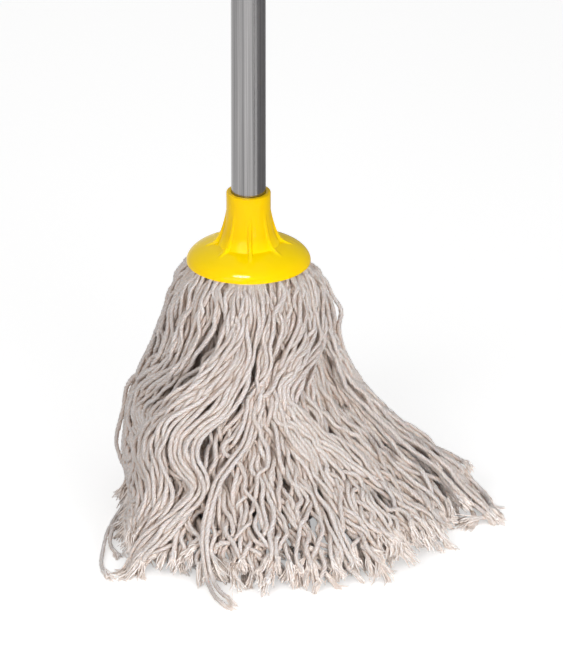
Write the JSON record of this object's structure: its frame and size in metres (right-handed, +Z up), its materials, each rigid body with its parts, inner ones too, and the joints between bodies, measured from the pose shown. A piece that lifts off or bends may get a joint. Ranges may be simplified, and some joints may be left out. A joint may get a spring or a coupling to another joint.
{
  "type": "floor mop",
  "caption": "Floor mop: cotton cords gathered in a moulded bell socket with gusset ribs, on a push-fit tube handle with a hanging cap.",
  "frame": {"origin": "on the floor, under the handle's axis", "axes": "+Z up along the handle, -Y towards the front of the mop, +X to the right, the side that the cords are dragged to"},
  "size_m": [0.3069, 0.2934, 1.431],
  "materials": {
    "handle_metal": "drawn, with fine lengthwise streaks",
    "yellow_plastic": "moulded, glossy",
    "grey_plastic": "moulded, plain",
    "ring_wire": "galvanised wire",
    "cotton": "undyed twisted cotton cord"
  },
  "bodies": {
    "mop_head": {"socket": "yellow_plastic", "yarn_clamp": "grey_plastic", "yarn_ring": "ring_wire", "yarn_tuft_01": "cotton", "yarn_tuft_02": "cotton", "yarn_tuft_03": "cotton", "yarn_tuft_04": "cotton", "yarn_tuft_05": "cotton", "yarn_tuft_06": "cotton", "yarn_tuft_07": "cotton", "yarn_tuft_08": "cotton", "yarn_tuft_09": "cotton", "yarn_tuft_10": "cotton", "yarn_tuft_11": "cotton", "yarn_tuft_12": "cotton", "yarn_tuft_13": "cotton", "yarn_tuft_14": "cotton", "yarn_tuft_15": "cotton", "yarn_tuft_16": "cotton"},
    "handle": {"handle_tube": "handle_metal", "tube_plug": "grey_plastic", "hang_cap": "yellow_plastic"}
  },
  "joints": [
    {"name": "handle_draw", "type": "slide", "parent": "mop_head", "child": "handle", "axis": [0, 0, 1], "range_m": [0, 0.05]}
  ]
}
